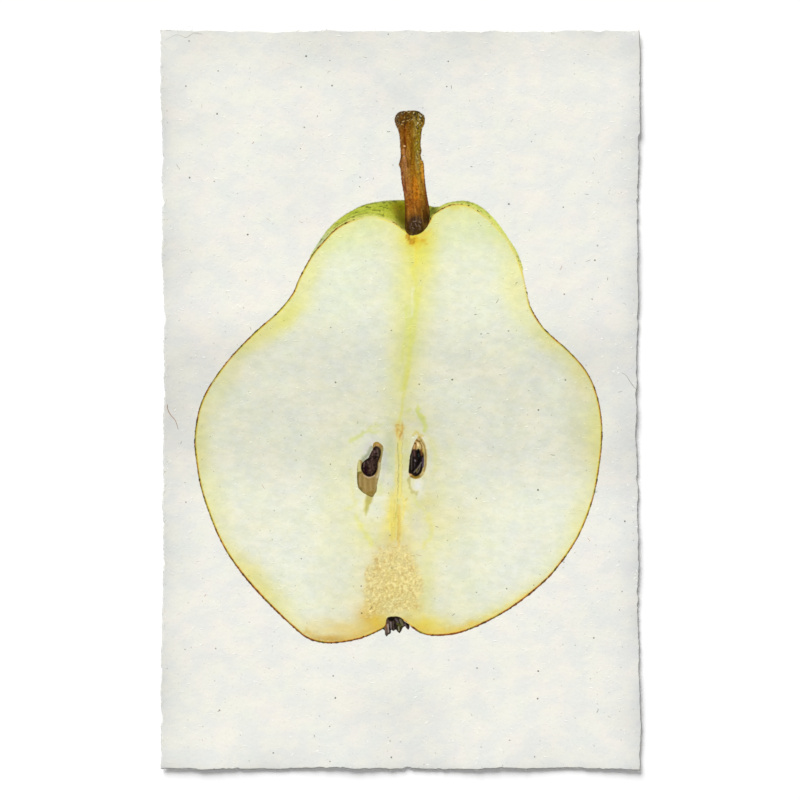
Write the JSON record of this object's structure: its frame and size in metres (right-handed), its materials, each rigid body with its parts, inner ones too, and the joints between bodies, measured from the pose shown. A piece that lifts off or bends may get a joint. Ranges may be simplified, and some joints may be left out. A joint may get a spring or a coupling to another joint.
{
  "type": "art print on handmade paper",
  "caption": "Sheet of handmade paper with deckle edges, printed with a halved pear. It lies on its flat back with its margins curled up a little.",
  "frame": {"origin": "middle of the sheet's flat back, on the surface it rests on", "axes": "+X to the right of the picture, +Y towards the picture's top, where the pear's stem is, +Z out of the printed face"},
  "size_m": [0.495, 0.7626, 0.0056],
  "materials": {
    "printed_paper": "matte"
  },
  "bodies": {
    "root": {"printed_sheet": "printed_paper"}
  },
  "joints": []
}
